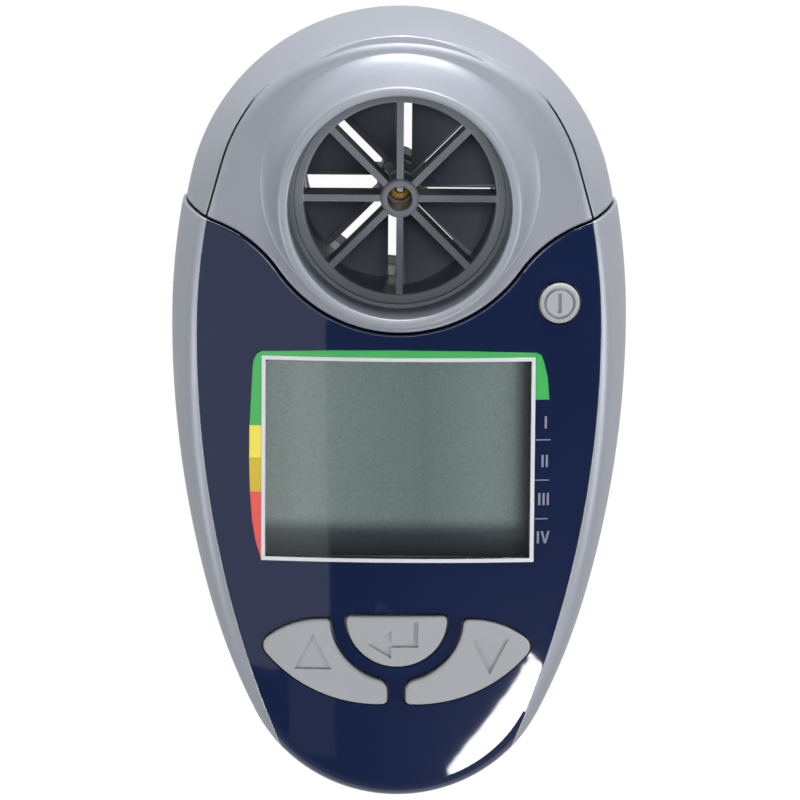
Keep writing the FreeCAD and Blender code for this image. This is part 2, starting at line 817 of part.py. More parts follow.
tray_length = room_length + 2 * tray_wall
tray_base = floor_z + seat
tray = block(2 * (room_half + tray_wall), tray_length, tray_top - tray_base, 0, room_mid_y, tray_base)
tray = tray.common(pebble(wall + seat, floor_z, form_top))
tray = tray.cut(block(2 * room_half, room_length, tray_top - tray_wall, 0, room_mid_y, 0))
export("battery_tray", largest(tray))

cells = []
plate_reach = room_length / 2 - contact_thickness
for side in (-1, 1):
    foot = V(side * cell_pitch / 2, room_mid_y - side * (plate_reach - spring_length), cell_z)
    can = Part.makeCylinder(cell_radius, cell_length, foot, Y * side)
    tip = Part.makeCylinder(cell_tip_radius, cell_length + cell_tip, foot, Y * side)
    cells.append(join([can, tip]))
export("battery_left", cells[0])
export("battery_right", cells[1])



def half_turn(side, z, rise):
    """Half a coil from one side to the other, climbing by rise: half a ring in a slanting plane."""
    slant = math.atan2(rise, 2 * spring_coil_radius)
    section = Part.Face(Part.Wire(Part.makeCircle(spring_wire, V(side * spring_coil_radius, 0, z), Y)))
    axis = V(side * math.sin(slant), 0, math.cos(slant))
    return section.revolve(V(0, 0, z + rise / 2), axis, 180)


def coil_spring():
    """A contact spring that stands on the origin, wound of half turns that meet without a kink."""
    rise = (spring_length - 4 * spring_wire) / (2 * spring_turns)
    coils = [half_turn(1 if step % 2 == 0 else -1, 2 * spring_wire + rise * step, rise)
             for step in range(2 * spring_turns)]
    return join(coils)


plates = []
springs = []
for side in (-1, 1):
    for end in (-1, 1):
        y = room_mid_y + end * (room_length - contact_thickness) / 2
        plates.append(block(contact_side, contact_thickness, contact_side, side * cell_pitch / 2, y,
                            cell_z - contact_side / 2))
    spring = coil_spring()
    spring.rotate(V(0, 0, 0), X, -90 * side)
    spring.translate(V(side * cell_pitch / 2, room_mid_y - side * plate_reach, cell_z))
    springs.append(spring)
export("battery_contacts", *plates)
export("battery_springs", *springs)

# Battery door

door_y = door_head_y - body_length / 2
door_plate = block(2 * door_half, body_length, door_thickness, 0, door_y, door_inset)
runner_height = door_top - tongue_foot
door_runners = block(2 * (door_half + door_tongue), body_length, runner_height, 0, door_y, tongue_foot)
door = join([door_plate, door_runners]).common(body_form)
ribs = []
for rib in range(door_ribs):
    rib_y = room_tail_y + door_grip + door_rib_pitch * rib
    ribs.append(block(door_half, door_rib_width, door_rib_depth, 0, rib_y, door_inset))
export("battery_door", largest(door.cut(ribs)))

# Flow head

socket_floor_z = lip_height - socket_depth
seam_front = seam_zone(0)
head_outside = soften_seam(largest(head_form.common(seam_front)), seam_front, seam_round)


def rim_zone(grow):
    """Plan of the head cover: the rim circle, carried on in straight lines down to the seam."""
    radius = rim_radius + grow
    turn = rad(rim_flare_angle)
    touch = V(radius * math.cos(turn), rim_centre_y + radius * math.sin(turn), 0)
    foot = touch.add(V(math.sin(turn), -math.cos(turn), 0) * rim_radius)
    edges = [
        Part.Arc(touch, V(0, rim_centre_y + radius, 0), flip(touch)).toShape(),
        Part.makeLine(flip(touch), flip(foot)),
        Part.makeLine(flip(foot), foot),
        Part.makeLine(foot, touch),
    ]
    return prism(Part.Wire(edges), 0, lip_height)


cover_screws = [(cover_screw_x, cover_screw_y), (-cover_screw_x, cover_screw_y)]


def mouth_solid():
    """The flared mouth, solid: a foot that sweeps up into the throat, then the rolled lip."""
    flare_foot = V(base_radius + flare_run, 0, flare_foot_z)
    flare_top = V(throat_radius, 0, flare_top_z)
    knee = V(throat_radius + flare_knee, 0, flare_foot_z + flare_knee_rise)
    curve = Part.BSplineCurve()
    curve.interpolate([flare_foot, knee, flare_top], Tangents=[V(-1, 0, 0.15), V(-0.5, 0, 0.87), V(0, 0, 1)],
                      TangentFlags=[True, True, True])
    lip_side = V(lip_radius, 0, lip_height - lip_round)
    neck = V(throat_radius + 0.1, 0, lip_height - lip_neck)
    top_out = V(lip_radius - lip_round, 0, lip_height)
    bite = lip_round * (1 - math.cos(rad(45)))
    out_mid = V(lip_radius - bite, 0, lip_height - bite)
    points = [top_out, V(0, 0, lip_height), V(0, 0, mouth_foot_z), V(base_radius, 0, mouth_foot_z),
              V(flare_foot.x, 0, flare_foot_z)]
    edges = [curve.toShape(),
             Part.makeLine(flare_top, neck),
             Part.makeLine(neck, lip_side),
             Part.Arc(lip_side, out_mid, top_out).toShape()]
    edges += [Part.makeLine(a, b) for a, b in zip(points, points[1:])]
    profile = Part.Face(Part.Wire(edges))
    solid = profile.revolve(V(0, 0, 0), Z, 360)
    solid.translate(axis_point)
    return solid


plate = head_outside.common(rim_zone(0)).cut(under_face(cover_skin))
under_plate = under_face(cover_skin).cut(cylinder(throat_radius, lip_height, 0, tube_y, 0))
mouth = mouth_solid().common(seam_front).cut(under_plate)
cover = join([plate, mouth])
cover = cover.cut([cylinder(cartridge_radius + seat, lip_height, 0, tube_y, 0),
                   cylinder(socket_radius, socket_depth + 1, 0, tube_y, socket_floor_z)])
inner_lip = [edge for edge in cover.Edges
             if abs(edge.BoundBox.ZMin - lip_height) < 0.01 and edge.BoundBox.XMax < socket_radius + 0.2]
cover = cover.makeFillet(lip_round * 0.6, inner_lip)
recess = rim_zone(rim_groove).cut([rim_zone(-recess_reach), under_face(recess_depth)])
recess = recess.common(block(recess_width, rim_radius, lip_height, 0, rim_centre_y + rim_radius, 0))
cover = cover.cut(recess)
cover_bosses = []
for x, y in cover_screws:
    boss = cylinder(boss_radius, lip_height, x, y, parting_z + seat).common(under_face(cover_skin / 2))
    cover_bosses.append(boss.cut(cylinder(throat_radius, lip_height, 0, tube_y, 0)))
cover = join([cover] + cover_bosses)
cover = cover.cut([cylinder(screw_radius, screw_grip, x, y, parting_z) for x, y in cover_screws])
export("head_cover", largest(cover))

head_hollow = pebble(head_step + wall, wall, form_top).common(seam_zone(-wall))
cover_pocket = rim_zone(rim_groove).cut(under_face(cover_skin + seat))
shell = head_outside.cut([head_hollow, cover_pocket])
sleeve = cylinder(throat_radius, mouth_foot_z - seal_thickness - 2 * seat, 0, tube_y, 0)
head_posts = [cylinder(boss_radius, parting_z - wall, x, y, wall) for x, y in cover_screws]
head_posts = [post.common(pebble(head_step + seat, 0, form_top)) for post in head_posts]
shell = join([shell, sleeve] + head_posts)
cuts = [cylinder(cartridge_radius + seat, lip_height, 0, tube_y, cartridge_floor),
        cylinder(bore_radius, lip_height, 0, tube_y, -1)]
for side in (-1, 1):
    cuts.append(block(tongue_width + 2 * gap, 2 * wall + 4, tongue_height + 2 * gap, side * tongue_x,
                      tongue_root_y + wall, tongue_z - gap))
light_path = block(sensor_spacing + 2 * sensor_radius, base_radius, 2 * sensor_radius, 0,
                   tube_y - base_radius, sensor_z - sensor_radius)
cuts.append(light_path)
export("head_shell", largest(shell.cut(cuts + screw_holes(cover_screws))))
export("cover_screws", *[screw(x, y) for x, y in cover_screws])
export("sleeve_seal", ring(throat_radius - seat, cartridge_radius + 2 * seat, seal_thickness, 0, tube_y,
                           mouth_foot_z - seal_thickness - seat))
rear_seal = ring(cartridge_radius, bore_radius + gap, seal_thickness, 0, tube_y, cartridge_floor)
export("cartridge_seal", rear_seal)

# Measuring cartridge: four stacked rings in one bore

rear_stator_z = cartridge_floor + seal_thickness
rotor_tube_z = rear_stator_z + stator_height + seat
front_stator_z = socket_floor_z - seat - front_height
swirl_z = front_stator_z - seat - stator_height


def spokes(z, height, thickness):
    fins = []
    for step in range(spoke_count):
        fin = block(bore_radius + spoke_root, thickness, height, (bore_radius + spoke_root) / 2, 0, z)
        fin.rotate(V(0, 0, 0), Z, 360 * step / spoke_count)
        fin.translate(axis_point)
        fins.append(fin)
    return fins


def cartridge_ring(z, height):
    return ring(cartridge_radius, bore_radius, height, 0, tube_y, z)


front_ring = cartridge_ring(front_stator_z, front_height)
rim_edges = [edge for edge in front_ring.Edges
             if edge.BoundBox.ZMin > socket_floor_z - 2 * seat and edge.BoundBox.XMax < bore_radius + seat]
front_ring = front_ring.makeFillet(edge_round, rim_edges)
hub = cylinder(hub_radius, hub_length, 0, tube_y, socket_floor_z - hub_length)
hub_rim = [edge for edge in hub.Edges if edge.BoundBox.ZMin > socket_floor_z - 0.01]
hub = hub.makeFillet(hub_round, hub_rim)
teeth = []
tooth_width, tooth_side, tooth_height = hub_tooth
for step in range(hub_teeth):
    tooth = block(tooth_width, tooth_side, tooth_height, hub_radius - 0.1, 0,
                  socket_floor_z - hub_length - tooth_height + 0.2)
    tooth.rotate(V(0, 0, 0), Z, 360 * (step + 0.5) / hub_teeth)
    tooth.translate(axis_point)
    teeth.append(tooth)
front_spokes = spokes(socket_floor_z - spoke_drop - spoke_height, spoke_height, spoke_thickness)
front_stator = join([front_ring, hub] + teeth + front_spokes)
front_stator = front_stator.cut(cylinder(hub_hole_radius, lip_height, 0, tube_y, 0))
export("front_stator", largest(front_stator))


def blade(step):
    """One swirl blade: a radial strip twisted as it goes deeper."""
    levels = 5
    wires = []
    for level in range(levels + 1):
        share = level / levels
        turn = rad(360 * step / spoke_count + blade_lead + blade_twist * share)
        z = swirl_z + stator_height * (1 - share)
        out = V(math.cos(turn), math.sin(turn), 0)
        across = V(-math.sin(turn), math.cos(turn), 0) * (blade_thickness / 2)
        inner = axis_point.add(out * (blade_hub_radius - spoke_root)).add(V(0, 0, z))
        outer = axis_point.add(out * (bore_radius + spoke_root)).add(V(0, 0, z))
        corners = [inner.sub(across), outer.sub(across), outer.add(across), inner.add(across)]
        wires.append(Part.makePolygon(corners + corners[:1]))
    return Part.makeLoft(wires, True, False)


def slit(step):
    """The straight see-through gap beside each spoke, clockwise of it."""
    reach = bore_radius - slit_inner
    side = -slit_lead - slit_width / 2
    cut = block(reach, slit_width, stator_height + 2, slit_inner + reach / 2, side, swirl_z - 1)
    cut.rotate(V(0, 0, 0), Z, 360 * step / spoke_count)
    cut.translate(axis_point)
    return cut


swirl_hub = cylinder(blade_hub_radius, stator_height, 0, tube_y, swirl_z)
blades = [blade(step) for step in range(spoke_count)]
swirl = join([cartridge_ring(swirl_z, stator_height), swirl_hub] + blades)
swirl = swirl.cut([slit(step) for step in range(spoke_count)])
bearing_pocket = bearing_radius + seat
front_bearing_z = swirl_z + stator_height - bearing_length - bearing_cover
swirl = swirl.cut([cylinder(shaft_radius + gap, lip_height, 0, tube_y, 0),
                   cylinder(bearing_pocket, lip_height, 0, tube_y, front_bearing_z)])
export("swirl_stator", largest(swirl))

rotor_tube_length = swirl_z - seat - rotor_tube_z
export("rotor_tube", cartridge_ring(rotor_tube_z, rotor_tube_length))

rear_bearing_z = rear_stator_z + rear_bearing_cover
rear_hub = cylinder(hub_radius, stator_height, 0, tube_y, rear_stator_z)
rear_stator = join([cartridge_ring(rear_stator_z, stator_height), rear_hub]
                   + spokes(rear_stator_z + spoke_margin, stator_height - 2 * spoke_margin, spoke_thickness))
rear_stator = rear_stator.cut([cylinder(bearing_pocket, bearing_length + seat, 0, tube_y, rear_bearing_z),
                               cylinder(shaft_radius + gap, lip_height, 0, tube_y, rear_bearing_z)])
export("rear_stator", largest(rear_stator))

bearing_hole = shaft_radius + bearing_running
export("front_bearing", ring(bearing_radius, bearing_hole, bearing_length, 0, tube_y, front_bearing_z))
export("rear_bearing", ring(bearing_radius, bearing_hole, bearing_length, 0, tube_y, rear_bearing_z))

# Rotor

vane_z = rotor_tube_z + (rotor_tube_length - vane_height) / 2
shaft_length = front_bearing_z + bearing_length - rear_bearing_z
export("rotor_shaft", cylinder(shaft_radius, shaft_length, 0, tube_y, rear_bearing_z))
collar = cylinder(2 * shaft_radius, vane_height, 0, tube_y, vane_z)
vane = join([block(vane_thickness, vane_length, vane_height, 0, tube_y, vane_z), collar])
export("rotor_vane", vane.cut(cylinder(shaft_radius + seat, lip_height, 0, tube_y, 0)))
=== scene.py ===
import math

import bmesh
import bpy
from mathutils import Matrix, Vector


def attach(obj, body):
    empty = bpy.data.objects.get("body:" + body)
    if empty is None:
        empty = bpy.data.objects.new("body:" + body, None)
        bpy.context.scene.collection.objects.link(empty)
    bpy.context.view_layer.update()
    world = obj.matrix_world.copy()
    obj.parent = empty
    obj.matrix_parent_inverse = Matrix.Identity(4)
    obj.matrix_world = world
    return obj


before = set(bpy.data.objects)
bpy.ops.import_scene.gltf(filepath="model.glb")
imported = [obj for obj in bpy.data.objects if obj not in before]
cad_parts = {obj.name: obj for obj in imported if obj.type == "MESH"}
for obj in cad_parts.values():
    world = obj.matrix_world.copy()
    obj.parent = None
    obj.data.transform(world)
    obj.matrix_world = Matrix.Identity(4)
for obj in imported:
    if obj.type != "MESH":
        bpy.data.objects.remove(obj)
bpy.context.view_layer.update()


# Rear case, front case, battery door and the two halves of the flow head: moulded ABS in a satin silver-grey
# lacquer. The lacquer has a fine flake and is a little uneven. Along the moulded edges its colour is painted
# lighter, partly rubbed wear and partly a painted highlight.
def lacquer_colour(red, green, blue):
    """A colour given as it looks on a screen, 0 to 255, in Blender's linear light."""
    parts = []
    for value in (red, green, blue):
        share = value / 255
        parts.append(share / 12.92 if share <= 0.04045 else ((share + 0.055) / 1.055) ** 2.4)
    return (*parts, 1.0)


def new_finish(name):
    """A new material with its Principled shader: the material, its nodes and its links."""
    made = bpy.data.materials.new(name)
    made.use_nodes = True
    return made, made.node_tree.nodes, made.node_tree.links


def finish_parts(material, *names):
    """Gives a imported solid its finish."""
    for name in names:
        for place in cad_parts[name].material_slots:
            place.material = material


def new_effect(name, inputs, outputs):
    """An empty effect group with number inputs, and outputs named with their kinds."""
    made = bpy.data.node_groups.new(name, "ShaderNodeTree")
    for label, start in inputs:
        socket = made.interface.new_socket(label, in_out="INPUT", socket_type="NodeSocketFloat")
        socket.default_value = start
    for label, kind in outputs:
        made.interface.new_socket(label, in_out="OUTPUT", socket_type=kind)
    return made, made.nodes.new("NodeGroupInput"), made.nodes.new("NodeGroupOutput")


# fine grain and broad unevenness of a moulded or lacquered surface
moulded_grain, grain_in, grain_out = new_effect(
    "moulded_grain",
    [("Grain Scale", 2500.0), ("Patch Scale", 60.0)],
    [("Grain", "NodeSocketFloat"), ("Patch", "NodeSocketFloat")])
grain_place = moulded_grain.nodes.new("ShaderNodeTexCoord")
for label, detail in (("Grain", 3.0), ("Patch", 4.0)):
    noise = moulded_grain.nodes.new("ShaderNodeTexNoise")
    noise.inputs["Detail"].default_value = detail
    moulded_grain.links.new(grain_place.outputs["Object"], noise.inputs["Vector"])
    moulded_grain.links.new(grain_in.outputs[label + " Scale"], noise.inputs["Scale"])
    moulded_grain.links.new(noise.outputs["Fac"], grain_out.inputs[label])

# edges painted lighter, partly rubbed wear and partly a painted highlight: the turn between the rounded and
# the true surface, broken up by noise
edge_wear_and_highlight, edge_mark_in, edge_mark_out = new_effect(
    "edge_wear_and_highlight",
    [("Radius", 0.0003), ("Breaks", 300.0), ("Amount", 1.0)],
    [("Edge", "NodeSocketFloat"), ("Normal", "NodeSocketVector")])
rounded = edge_wear_and_highlight.nodes.new("ShaderNodeBevel")
rounded.samples = 6
true_surface = edge_wear_and_highlight.nodes.new("ShaderNodeNewGeometry")
turn = edge_wear_and_highlight.nodes.new("ShaderNodeVectorMath")
turn.operation = "DOT_PRODUCT"
reach = edge_wear_and_highlight.nodes.new("ShaderNodeMapRange")
reach.inputs["From Min"].default_value = 0.995
reach.inputs["From Max"].default_value = 0.80
breaks = edge_wear_and_highlight.nodes.new("ShaderNodeTexNoise")
breaks.inputs["Detail"].default_value = 3.0
edge_mark_place = edge_wear_and_highlight.nodes.new("ShaderNodeTexCoord")
broken = edge_wear_and_highlight.nodes.new("ShaderNodeMapRange")
broken.inputs["From Min"].default_value = 0.3
broken.inputs["From Max"].default_value = 0.6
broken.inputs["To Min"].default_value = 0.45
share = edge_wear_and_highlight.nodes.new("ShaderNodeMath")
share.operation = "MULTIPLY"
strength = edge_wear_and_highlight.nodes.new("ShaderNodeMath")
strength.operation = "MULTIPLY"
for start, end in (
        (edge_mark_in.outputs["Radius"], rounded.inputs["Radius"]),
        (rounded.outputs["Normal"], turn.inputs[0]),
        (true_surface.outputs["Normal"], turn.inputs[1]),
        (turn.outputs["Value"], reach.inputs["Value"]),
        (edge_mark_place.outputs["Object"], breaks.inputs["Vector"]),
        (edge_mark_in.outputs["Breaks"], breaks.inputs["Scale"]),
        (breaks.outputs["Fac"], broken.inputs["Value"]),
        (reach.outputs["Result"], share.inputs[0]),
        (broken.outputs["Result"], share.inputs[1]),
        (share.outputs[0], strength.inputs[0]),
        (edge_mark_in.outputs["Amount"], strength.inputs[1]),
        (strength.outputs[0], edge_mark_out.inputs["Edge"]),
        (rounded.outputs["Normal"], edge_mark_out.inputs["Normal"])):
    edge_wear_and_highlight.links.new(start, end)


def moulded_finish(name, body, wear_and_highlight_colour, rough, grain_scale, grain_depth, patch_scale=60.0, edge_radius=0.0003,
                   edge_amount=1.0, uneven=0.12):
    """A moulded or lacquered surface: colour, edge colour of wear and painted highlight, roughness range,
    grain, edges.
    """
    made, nodes, links = new_finish(name)
    shader = nodes["Principled BSDF"]
    grain = nodes.new("ShaderNodeGroup")
    grain.node_tree = moulded_grain
    grain.inputs["Grain Scale"].default_value = grain_scale
    grain.inputs["Patch Scale"].default_value = patch_scale
    edge_mark = nodes.new("ShaderNodeGroup")
    edge_mark.node_tree = edge_wear_and_highlight
    edge_mark.inputs["Radius"].default_value = edge_radius
    edge_mark.inputs["Amount"].default_value = edge_amount
    tone = nodes.new("ShaderNodeMix")
    tone.data_type = "RGBA"
    tone.inputs["A"].default_value = tuple(channel * (1 - uneven) for channel in body[:3]) + (1.0,)
    tone.inputs["B"].default_value = tuple(channel * (1 + uneven) for channel in body[:3]) + (1.0,)
    # edges take a lighter colour: partly rubbed wear, partly a painted highlight
    wear_and_highlight_tone = nodes.new("ShaderNodeMix")
    wear_and_highlight_tone.data_type = "RGBA"
    wear_and_highlight_tone.inputs["B"].default_value = wear_and_highlight_colour
    gloss = nodes.new("ShaderNodeMapRange")
    gloss.inputs["From Min"].default_value = 0.3
    gloss.inputs["From Max"].default_value = 0.7
    gloss.inputs["To Min"].default_value = rough[0]
    gloss.inputs["To Max"].default_value = rough[1]
    bump = nodes.new("ShaderNodeBump")
    bump.inputs["Strength"].default_value = 0.5
    bump.inputs["Distance"].default_value = grain_depth
    for start, end in (
            (grain.outputs["Patch"], tone.inputs["Factor"]),
            (tone.outputs["Result"], wear_and_highlight_tone.inputs["A"]),
            (edge_mark.outputs["Edge"], wear_and_highlight_tone.inputs["Factor"]),
            (wear_and_highlight_tone.outputs["Result"], shader.inputs["Base Color"]),
            (grain.outputs["Patch"], gloss.inputs["Value"]),
            (gloss.outputs["Result"], shader.inputs["Roughness"]),
            (grain.outputs["Grain"], bump.inputs["Height"]),
            (edge_mark.outputs["Normal"], bump.inputs["Normal"]),
            (bump.outputs["Normal"], shader.inputs["Normal"])):
        links.new(start, end)
    return made


def see_through(material, bend, haze):
    """A clear moulding: its outer side mirrors by the angle, and the rest passes but for a little haze."""
    nodes, links = material.node_tree.nodes, material.node_tree.links
    mirror = nodes.new("ShaderNodeFresnel")
    mirror.inputs["IOR"].default_value = bend
    side = nodes.new("ShaderNodeNewGeometry")
    outer = nodes.new("ShaderNodeMath")
    outer.operation = "SUBTRACT"
    outer.inputs[0].default_value = 1.0
    kept = nodes.new("ShaderNodeMath")
    kept.operation = "MULTIPLY_ADD"
    kept.inputs[2].default_value = haze
    for start, end in (
            (side.outputs["Backfacing"], outer.inputs[1]),
            (mirror.outputs["Fac"], kept.inputs[0]),
            (outer.outputs[0], kept.inputs[1]),
            (kept.outputs[0], nodes["Principled BSDF"].inputs["Alpha"])):
        links.new(start, end)


def seam_painted_shade(material, width):
    """Painted shade: the colour is darkened in the narrow seams and grooves of a moulding, where shade falls.
    """
    nodes, links = material.node_tree.nodes, material.node_tree.links
    shader = nodes["Principled BSDF"]
    unshaded_colour = shader.inputs["Base Color"].links[0].from_socket
    seam_occlusion = nodes.new("ShaderNodeAmbientOcclusion")
    seam_occlusion.samples = 8
    seam_occlusion.inputs["Distance"].default_value = width
    seam_shade_amount = nodes.new("ShaderNodeMapRange")
    seam_shade_amount.inputs["From Min"].default_value = 0.62
    seam_shade_amount.inputs["From Max"].default_value = 0.3
    seam_shade_amount.inputs["To Max"].default_value = 0.92
    seam_shaded_colour = nodes.new("ShaderNodeMix")
    seam_shaded_colour.data_type = "RGBA"
    # colour of the painted shade
    seam_shaded_colour.inputs["B"].default_value = lacquer_colour(34, 36, 42)
    for start, end in (
            (seam_occlusion.outputs["AO"], seam_shade_amount.inputs["Value"]),
            (seam_shade_amount.outputs["Result"], seam_shaded_colour.inputs["Factor"]),
            (unshaded_colour, seam_shaded_colour.inputs["A"]),
            (seam_shaded_colour.outputs["Result"], shader.inputs["Base Color"])):
        links.new(start, end)


def silver_finish(name):
    """The satin silver-grey lacquer, with its metal flake."""
    made = moulded_finish(name, lacquer_colour(156, 161, 171), lacquer_colour(208, 211, 217), (0.36, 0.5),
                          3200.0, 0.00002, patch_scale=45.0, uneven=0.05)
    made.node_tree.nodes["Principled BSDF"].inputs["Metallic"].default_value = 0.3
    return made


seam_shade_width = 0.0008
silver_lacquer = silver_finish("silver_lacquer")
# painted shade darkens the lacquer in its seams and grooves
seam_painted_shade(silver_lacquer, seam_shade_width)
finish_parts(silver_lacquer, "rear_case", "front_case", "battery_door", "head_shell")


# Mouth and front stator: the bore inside the lip is painted darker as painted shade, and the spokes in it are
# given a darker grey, also as painted shade. The tube's axis is tube_y millimetres from the middle of the
# monitor.
tube_y = 32.0
mouth_lacquer = silver_finish("mouth_lacquer")
mouth_nodes, mouth_links = mouth_lacquer.node_tree.nodes, mouth_lacquer.node_tree.links
mouth_shader = mouth_nodes["Principled BSDF"]
lacquered = mouth_shader.inputs["Base Color"].links[0].from_socket
mouth_place = mouth_nodes.new("ShaderNodeTexCoord")
mouth_flat = mouth_nodes.new("ShaderNodeVectorMath")
mouth_flat.operation = "MULTIPLY"
mouth_flat.inputs[1].default_value = (1.0, 1.0, 0.0)
mouth_reach = mouth_nodes.new("ShaderNodeVectorMath")
mouth_reach.operation = "DISTANCE"
mouth_reach.inputs[1].default_value = (0.0, tube_y / 1000, 0.0)
# painted shade: the lacquer is darkened inside a radius of 15.5 mm round the tube's axis
bore_painted_shade = mouth_nodes.new("ShaderNodeMapRange")
bore_painted_shade.inputs["From Min"].default_value = 0.0155
bore_painted_shade.inputs["From Max"].default_value = 0.01534
bore_shade_tone = mouth_nodes.new("ShaderNodeMix")
bore_shade_tone.data_type = "RGBA"
# colour of the painted shade in the bore
bore_shade_tone.inputs["B"].default_value = lacquer_colour(112, 118, 127)
for start, end in (
        (mouth_place.outputs["Object"], mouth_flat.inputs[0]),
        (mouth_flat.outputs["Vector"], mouth_reach.inputs[0]),
        (mouth_reach.outputs["Value"], bore_painted_shade.inputs["Value"]),
        (bore_painted_shade.outputs["Result"], bore_shade_tone.inputs["Factor"]),
        (lacquered, bore_shade_tone.inputs["A"]),
        (bore_shade_tone.outputs["Result"], mouth_shader.inputs["Base Color"])):
    mouth_links.new(start, end)
# painted shade in the seams and grooves of the cover too
seam_painted_shade(mouth_lacquer, seam_shade_width)
finish_parts(mouth_lacquer, "head_cover")

# the spokes' grey is darker than the silver lacquer, as painted shade in the bore
stator_shaded_grey = moulded_finish("stator_shaded_grey", lacquer_colour(124, 129, 138), lacquer_colour(176, 180, 188),
                             (0.34, 0.48), 3200.0, 0.00002, patch_scale=45.0, uneven=0.05)
finish_parts(stator_shaded_grey, "front_stator")


# Fascia: one glossy navy moulding over the whole front, with a hard clear coat. Wiping has left fine hairlines
# in the coat, and its rolled edge catches the light. Along that edge the colour is also painted lighter,
# partly rubbed wear and partly a painted highlight.
navy_coat = moulded_finish("navy_coat", lacquer_colour(19, 33, 69), lacquer_colour(42, 57, 96), (0.3, 0.42),
                           900.0, 0.000004, patch_scale=30.0, edge_radius=0.0002, edge_amount=0.6,
                           uneven=0.05)
navy_nodes, navy_links = navy_coat.node_tree.nodes, navy_coat.node_tree.links
navy_shader = navy_nodes["Principled BSDF"]
navy_shader.inputs["Specular IOR Level"].default_value = 0.06
navy_shader.inputs["Coat Roughness"].default_value = 0.035
navy_shader.inputs["Coat IOR"].default_value = 1.6
hairline_place = navy_nodes.new("ShaderNodeTexCoord")
hairline_turn = navy_nodes.new("ShaderNodeMapping")
hairline_turn.inputs["Rotation"].default_value = (0.0, 0.0, math.radians(24))
hairline_turn.inputs["Scale"].default_value = (60.0, 2600.0, 60.0)
hairlines = navy_nodes.new("ShaderNodeTexNoise")
hairlines.inputs["Scale"].default_value = 1.0
hairlines.inputs["Detail"].default_value = 2.0
hairline_depth = navy_nodes.new("ShaderNodeMapRange")
hairline_depth.inputs["From Min"].default_value = 0.62
hairline_depth.inputs["From Max"].default_value = 0.78
hairline_depth.inputs["To Min"].default_value = 1.0
hairline_depth.inputs["To Max"].default_value = 0.82
for start, end in (
        (hairline_place.outputs["Object"], hairline_turn.inputs["Vector"]),
        (hairline_turn.outputs["Vector"], hairlines.inputs["Vector"]),
        (hairlines.outputs["Fac"], hairline_depth.inputs["Value"]),
        (hairline_depth.outputs["Result"], navy_shader.inputs["Coat Weight"])):
    navy_links.new(start, end)
finish_parts(navy_coat, "fascia")


# Display: a grey twisted-nematic glass on a white carrier, behind a clear plate let into the fascia. The glass
# has a fine cell texture. Its colour carries painted light: a painted reflection makes its left side lighter,
# and a painted shadow of the frame darkens its foot and its right side.
lcd_glass, lcd_nodes, lcd_links = new_finish("lcd_glass")
lcd_shader = lcd_nodes["Principled BSDF"]
lcd_shader.inputs["Coat Weight"].default_value = 0.5
lcd_shader.inputs["Coat Roughness"].default_value = 0.1
lcd_place = lcd_nodes.new("ShaderNodeTexCoord")
lcd_along = lcd_nodes.new("ShaderNodeSeparateXYZ")
lcd_side = lcd_nodes.new("ShaderNodeMapRange")
lcd_side.inputs["From Min"].default_value = -0.0185
lcd_side.inputs["From Max"].default_value = 0.0185
# left to right: lighter on the left as a painted reflection, then the glass's own grey, lighter again just
# before the right end, and a painted shadow of the frame at the right end
lcd_colour_and_painted_light = lcd_nodes.new("ShaderNodeValToRGB")
lcd_colour_and_painted_light.color_ramp.elements[0].color = lacquer_colour(140, 156, 153)
lcd_colour_and_painted_light.color_ramp.elements[1].color = lacquer_colour(42, 50, 54)
for place, tone in ((0.28, (118, 135, 133)), (0.6, (104, 122, 121)), (0.93, (130, 147, 146)),
                    (0.972, (66, 77, 79))):
    lcd_colour_and_painted_light.color_ramp.elements.new(place).color = lacquer_colour(*tone)
# painted shadow of the frame along the foot of the glass
lcd_foot_shadow = lcd_nodes.new("ShaderNodeMapRange")
lcd_foot_shadow.inputs["From Min"].default_value = -0.0172
lcd_foot_shadow.inputs["From Max"].default_value = -0.0145
lcd_foot_shadow.interpolation_type = "SMOOTHSTEP"
lcd_foot_shadow.inputs["To Min"].default_value = 0.12
lcd_foot_shadow.inputs["To Max"].default_value = 1.0
lcd_grain = lcd_nodes.new("ShaderNodeGroup")
lcd_grain.node_tree = moulded_grain
lcd_grain.inputs["Grain Scale"].default_value = 2600.0
lcd_grain.inputs["Patch Scale"].default_value = 90.0
lcd_speckle = lcd_nodes.new("ShaderNodeMapRange")
lcd_speckle.inputs["From Min"].default_value = 0.3
lcd_speckle.inputs["From Max"].default_value = 0.7
lcd_speckle.inputs["To Min"].default_value = 0.88
lcd_speckle.inputs["To Max"].default_value = 1.12
lcd_shade = lcd_nodes.new("ShaderNodeMix")
lcd_shade.data_type = "RGBA"
